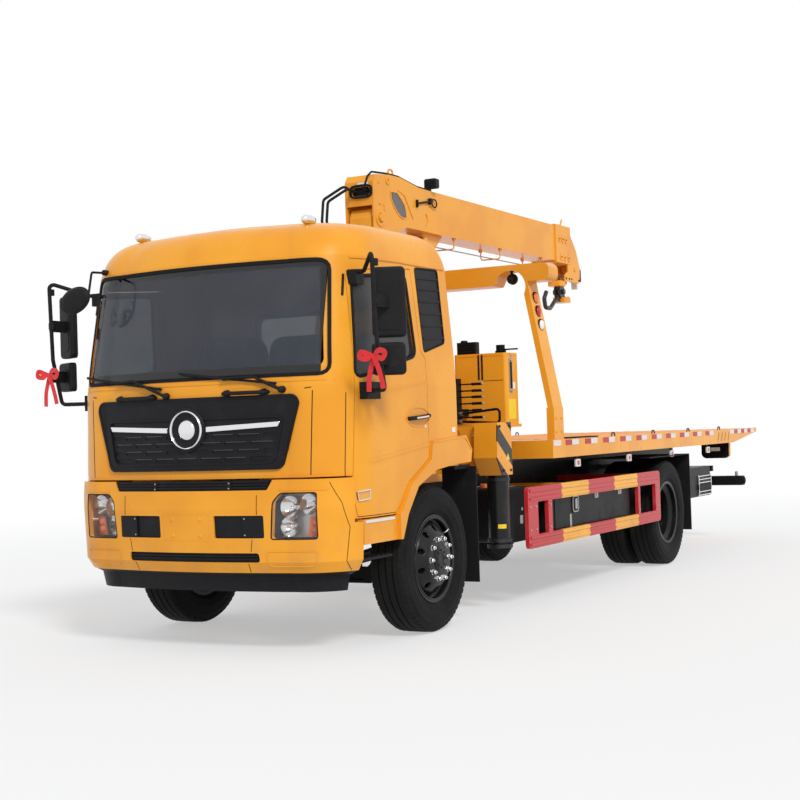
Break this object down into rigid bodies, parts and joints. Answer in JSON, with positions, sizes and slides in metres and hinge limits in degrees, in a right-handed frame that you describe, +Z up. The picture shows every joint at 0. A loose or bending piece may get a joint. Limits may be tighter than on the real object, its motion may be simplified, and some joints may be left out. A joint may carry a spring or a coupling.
{
  "type": "tow truck",
  "caption": "Flatbed tow truck with a cab, a sliding bed, a telescopic crane behind the cab, outriggers and a wheel lift at the tail.",
  "frame": {"origin": "on the ground, below the middle of the truck's length and width", "axes": "+Z up, -Y towards the front bumper, +X towards the truck's left side"},
  "size_m": [2.8514, 9.4898, 3.58],
  "materials": {
    "yellow_paint": "gloss enamel",
    "chassis_black": "semi-gloss black",
    "tyre": "matt rubber",
    "glass": "tinted clear",
    "black_plastic": "grained",
    "lamp": "clear lens over chrome",
    "seat_fabric": "woven",
    "guard_paint": "red and yellow bands",
    "chrome": "polished",
    "cast_metal": "as cast"
  },
  "bodies": {
    "chassis": {"frame_rails": "chassis_black", "front_axle": "chassis_black", "leaf_springs": "chassis_black", "rear_axle": "chassis_black", "engine_block": "cast_metal", "drive_line": "cast_metal", "cab_shell": "yellow_paint", "cab_glass": "glass", "grille_panel": "black_plastic", "front_bumper": "yellow_paint", "headlights": "lamp", "dashboard": "black_plastic", "seats": "seat_fabric", "cab_steps": "black_plastic", "cab_fenders": "yellow_paint", "mudguards": "black_plastic", "crane_base": "yellow_paint", "oil_tank": "yellow_paint", "control_levers": "chassis_black", "bed_subframe": "chassis_black", "side_guards": "guard_paint", "tool_box": "chassis_black", "fuel_tank": "chassis_black", "rear_lamp_bar": "chassis_black", "kerb_mirror": "black_plastic"},
    "left_knuckle": {"left_knuckle": "chassis_black"},
    "right_knuckle": {"right_knuckle": "chassis_black"},
    "tie_rod": {"tie_rod": "chassis_black"},
    "front_left_wheel": {"front_left_wheel": "chassis_black", "front_left_tyre": "tyre"},
    "front_right_wheel": {"front_right_wheel": "chassis_black", "front_right_tyre": "tyre"},
    "rear_left_wheels": {"rear_left_wheels": "chassis_black", "rear_left_tyres": "tyre"},
    "rear_right_wheels": {"rear_right_wheels": "chassis_black", "rear_right_tyres": "tyre"},
    "left_door": {"left_door": "yellow_paint", "left_door_glass": "glass", "left_mirror": "black_plastic"},
    "right_door": {"right_door": "yellow_paint", "right_door_glass": "glass", "right_mirror": "black_plastic"},
    "crane_column": {"crane_column": "yellow_paint"},
    "boom_base": {"boom_base": "yellow_paint", "boom_hoses": "black_plastic"},
    "boom_second": {"boom_second": "yellow_paint"},
    "boom_third": {"boom_third": "yellow_paint"},
    "boom_head": {"boom_head": "yellow_paint", "hook_block": "yellow_paint"},
    "luff_barrel": {"luff_barrel": "yellow_paint"},
    "luff_rod": {"luff_rod": "chrome"},
    "left_outrigger": {"left_outrigger": "yellow_paint"},
    "right_outrigger": {"right_outrigger": "yellow_paint"},
    "left_jack_leg": {"left_jack_leg": "chrome"},
    "right_jack_leg": {"right_jack_leg": "chrome"},
    "bed": {"bed_deck": "yellow_paint", "gantry": "yellow_paint"},
    "lift_arm": {"lift_arm": "chassis_black"},
    "lift_stinger": {"lift_stinger": "chassis_black"},
    "lift_crossbar": {"lift_crossbar": "chassis_black"}
  },
  "joints": [
    {"name": "steer_left", "type": "hinge", "parent": "chassis", "child": "left_knuckle", "pos_m": [0.84, -3.355, 0.51], "axis": [0, 0, 1], "range_deg": [-36, 36]},
    {"name": "steer_right", "type": "hinge", "parent": "chassis", "child": "right_knuckle", "pos_m": [-0.84, -3.355, 0.51], "axis": [0, 0, 1], "range_deg": [-36, 36]},
    {"name": "tie_rod_shift", "type": "slide", "parent": "chassis", "child": "tie_rod", "axis": [1, 0, 0], "range_m": [-0.125, 0.125]},
    {"name": "front_left_spin", "type": "hinge", "parent": "left_knuckle", "child": "front_left_wheel", "pos_m": [0.984, -3.355, 0.51], "axis": [1, 0, 0], "continuous": true},
    {"name": "front_right_spin", "type": "hinge", "parent": "right_knuckle", "child": "front_right_wheel", "pos_m": [-0.984, -3.355, 0.51], "axis": [1, 0, 0], "continuous": true},
    {"name": "rear_left_spin", "type": "hinge", "parent": "chassis", "child": "rear_left_wheels", "pos_m": [0.919, 1.495, 0.51], "axis": [1, 0, 0], "continuous": true},
    {"name": "rear_right_spin", "type": "hinge", "parent": "chassis", "child": "rear_right_wheels", "pos_m": [-0.919, 1.495, 0.51], "axis": [1, 0, 0], "continuous": true},
    {"name": "left_door_hinge", "type": "hinge", "parent": "chassis", "child": "left_door", "pos_m": [1.08, -4.429, 1.5], "axis": [0, 0, -1], "range_deg": [0, 70]},
    {"name": "right_door_hinge", "type": "hinge", "parent": "chassis", "child": "right_door", "pos_m": [-1.08, -4.429, 1.5], "axis": [0, 0, 1], "range_deg": [0, 70]},
    {"name": "crane_slew", "type": "hinge", "parent": "chassis", "child": "crane_column", "pos_m": [0, -2.155, 1.5], "axis": [0, 0, 1], "continuous": true},
    {"name": "boom_luff", "type": "hinge", "parent": "crane_column", "child": "boom_base", "pos_m": [0, -2.245, 3.11], "axis": [1, 0, 0], "range_deg": [0, 75]},
    {"name": "boom_extend", "type": "slide", "parent": "boom_base", "child": "boom_second", "axis": [0, 1, 0], "range_m": [0, 2.6]},
    {"name": "third_extend", "type": "slide", "parent": "boom_second", "child": "boom_third", "axis": [0, 1, 0], "range_m": [0, 2.6]},
    {"name": "head_extend", "type": "slide", "parent": "boom_third", "child": "boom_head", "axis": [0, 1, 0], "range_m": [0, 2.6]},
    {"name": "luff_barrel_pin", "type": "hinge", "parent": "crane_column", "child": "luff_barrel", "pos_m": [0, -1.875, 1.86], "axis": [1, 0, 0], "range_deg": [0, 30]},
    {"name": "luff_rod_stroke", "type": "slide", "parent": "luff_barrel", "child": "luff_rod", "axis": [0, 0.3968, 0.9179], "range_m": [0, 0.85]},
    {"name": "left_outrigger_out", "type": "slide", "parent": "chassis", "child": "left_outrigger", "axis": [1, 0, 0], "range_m": [0, 0.75]},
    {"name": "right_outrigger_out", "type": "slide", "parent": "chassis", "child": "right_outrigger", "axis": [-1, 0, 0], "range_m": [0, 0.75]},
    {"name": "left_jack_down", "type": "slide", "parent": "left_outrigger", "child": "left_jack_leg", "axis": [0, 0, -1], "range_m": [0, 0.485]},
    {"name": "right_jack_down", "type": "slide", "parent": "right_outrigger", "child": "right_jack_leg", "axis": [0, 0, -1], "range_m": [0, 0.485]},
    {"name": "bed_slide", "type": "slide", "parent": "chassis", "child": "bed", "axis": [0, 1, 0], "range_m": [0, 2.4]},
    {"name": "lift_raise", "type": "hinge", "parent": "chassis", "child": "lift_arm", "pos_m": [0, 2.865, 0.675], "axis": [1, 0, 0], "range_deg": [-12, 6]},
    {"name": "lift_extend", "type": "slide", "parent": "lift_arm", "child": "lift_stinger", "axis": [0, 1, 0], "range_m": [0, 1.2]},
    {"name": "lift_swivel", "type": "hinge", "parent": "lift_stinger", "child": "lift_crossbar", "pos_m": [0, 4.655, 0.675], "axis": [0, 0, 1], "range_deg": [-30, 30]}
  ],
  "couplings": [
    {"joint": "steer_right", "follows": "steer_left", "ratio": 1},
    {"joint": "tie_rod_shift", "follows": "steer_left", "m_per_rad": -0.19},
    {"joint": "third_extend", "follows": "boom_extend", "ratio": 1},
    {"joint": "head_extend", "follows": "boom_extend", "ratio": 1},
    {"joint": "luff_barrel_pin", "follows": "boom_luff", "ratio": 0.32831},
    {"joint": "luff_rod_stroke", "follows": "boom_luff", "m_per_rad": 0.61988}
  ]
}
